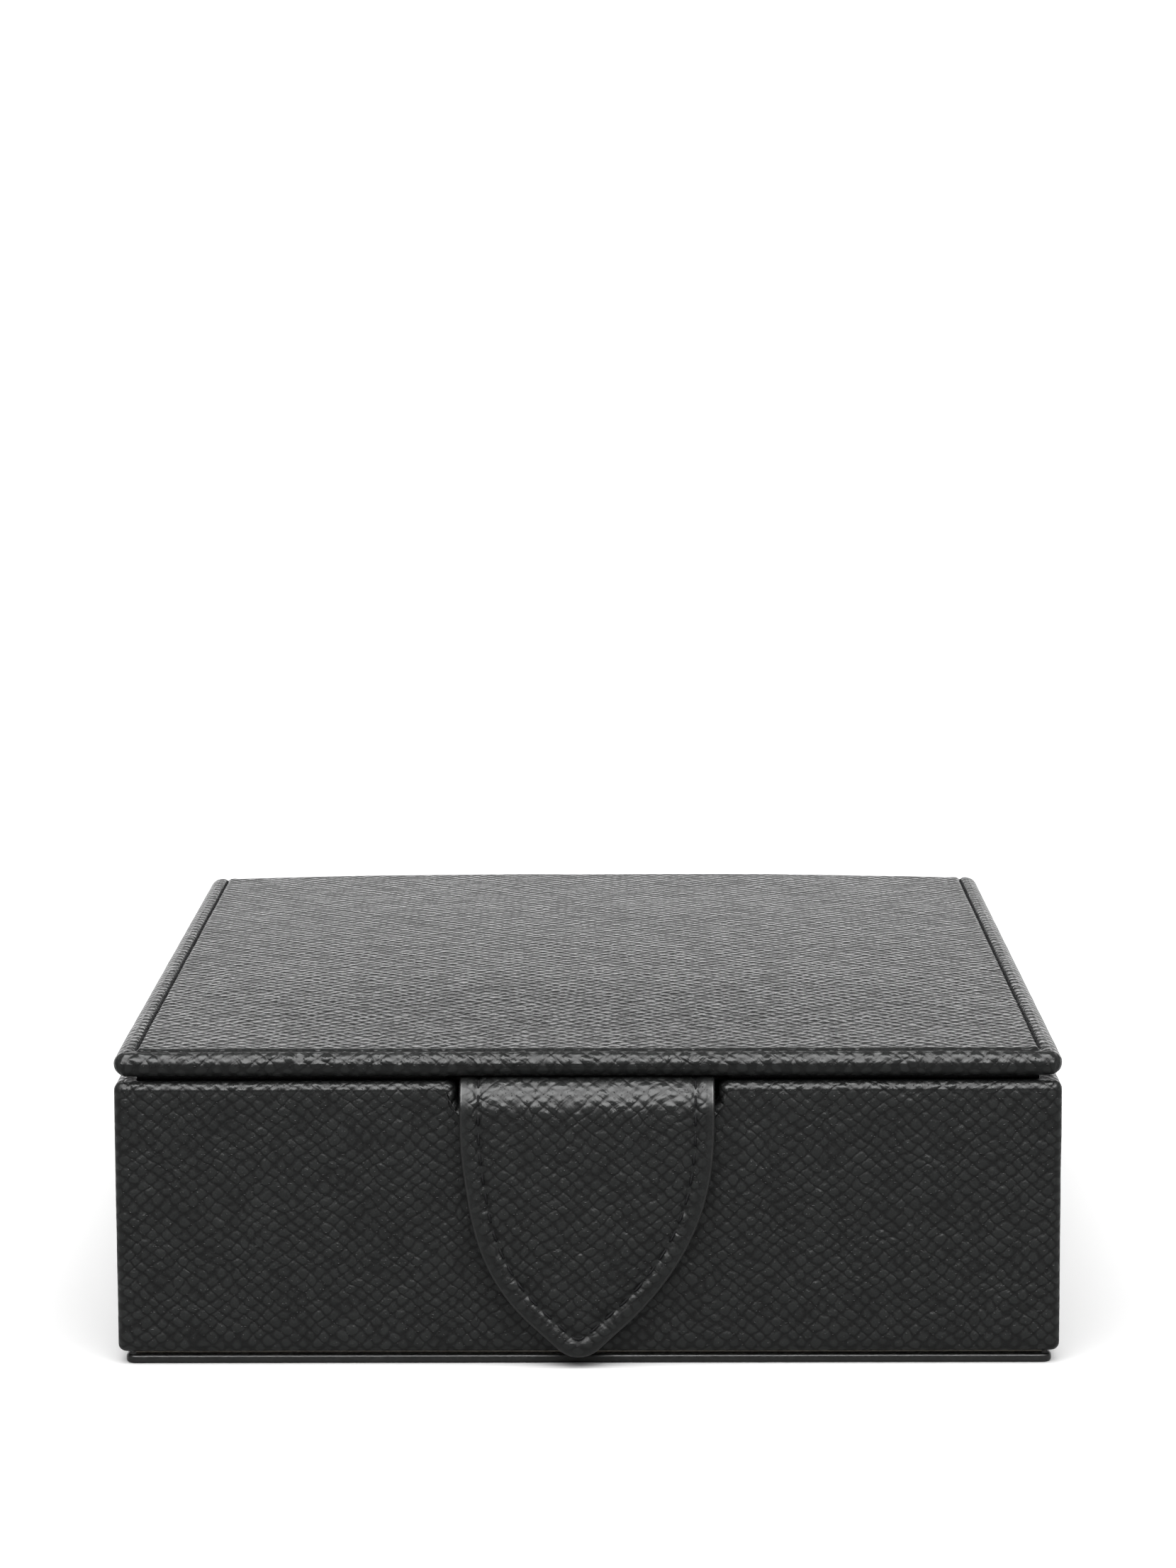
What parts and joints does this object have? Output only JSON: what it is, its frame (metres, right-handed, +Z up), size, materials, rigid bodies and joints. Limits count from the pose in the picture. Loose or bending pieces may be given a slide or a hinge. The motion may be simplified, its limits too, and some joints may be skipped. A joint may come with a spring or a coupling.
{
  "type": "poker chip case",
  "caption": "Small leather-covered gaming case with a padded hinged lid, a pointed fold-over magnetic tab, and lined trays inside for rows of chips and decks of cards.",
  "frame": {"origin": "centre of the flat face that the case stands on", "axes": "+Z up, the tab faces -Y, the lid hinges at +Y, +X is the right side seen from the tab"},
  "size_m": [0.17, 0.203, 0.0585],
  "materials": {
    "black_leather": "satin cross-grain",
    "wall_mdf": "bare",
    "greyboard": "bare",
    "green_suede": "napped",
    "black_suede": "napped",
    "foam": "open cell",
    "black_thread": "waxed",
    "black_cloth": "plain weave",
    "steel": "nickel-plated",
    "chip_red": "clay composite",
    "chip_blue": "clay composite",
    "chip_white": "clay composite",
    "chip_black": "clay composite",
    "cards_red": "coated",
    "cards_blue": "coated"
  },
  "bodies": {
    "case": {"base_leather": "black_leather", "base_board": "greyboard", "base_filler_card": "greyboard", "base_spacer_card": "greyboard", "bottom_filler_card": "greyboard", "front_wall_board": "wall_mdf", "back_wall_board": "wall_mdf", "left_wall_board": "wall_mdf", "right_wall_board": "wall_mdf", "floor_board": "wall_mdf", "catch_plate": "steel", "floor_lining": "black_suede", "front_wall_lining": "black_suede", "back_wall_lining": "black_suede", "left_wall_lining": "black_suede", "right_wall_lining": "black_suede", "body_leather": "black_leather", "spine_leather": "black_leather", "left_chip_rack": "green_suede", "right_chip_rack": "green_suede", "left_rack_divider": "green_suede", "right_rack_divider": "green_suede", "card_tray": "green_suede", "chips_left_front": "chip_red", "chips_left_back": "chip_white", "chips_right_front": "chip_blue", "chips_right_back": "chip_black", "card_deck_front": "cards_red", "card_deck_back": "cards_blue", "hinge_leather": "black_leather", "hinge_gusset": "black_cloth"},
    "lid": {"lid_board": "wall_mdf", "lid_padding": "foam", "lid_leather": "black_leather", "lid_filler_card": "greyboard", "lid_lining_panel": "black_suede", "lid_left_edge_core": "greyboard", "lid_right_edge_core": "greyboard", "lid_left_stitching": "black_thread", "lid_right_stitching": "black_thread", "tab_root": "black_leather", "tab_bend": "black_leather"},
    "tab": {"tab_face_leather": "black_leather", "tab_back_leather": "black_leather", "tab_core": "greyboard", "tab_magnet": "steel", "tab_stitching": "black_thread"}
  },
  "joints": [
    {"name": "lid_hinge", "type": "hinge", "parent": "case", "child": "lid", "pos_m": [0, 0.1, 0.05225], "axis": [-1, 0, 0], "range_deg": [0, 110], "deforming": ["hinge_leather", "hinge_gusset"]},
    {"name": "tab_flex", "type": "hinge", "parent": "lid", "child": "tab", "pos_m": [0, -0.10083, 0.05063], "axis": [-1, 0, 0], "range_deg": [0, 90], "deforming": ["tab_bend"]}
  ]
}
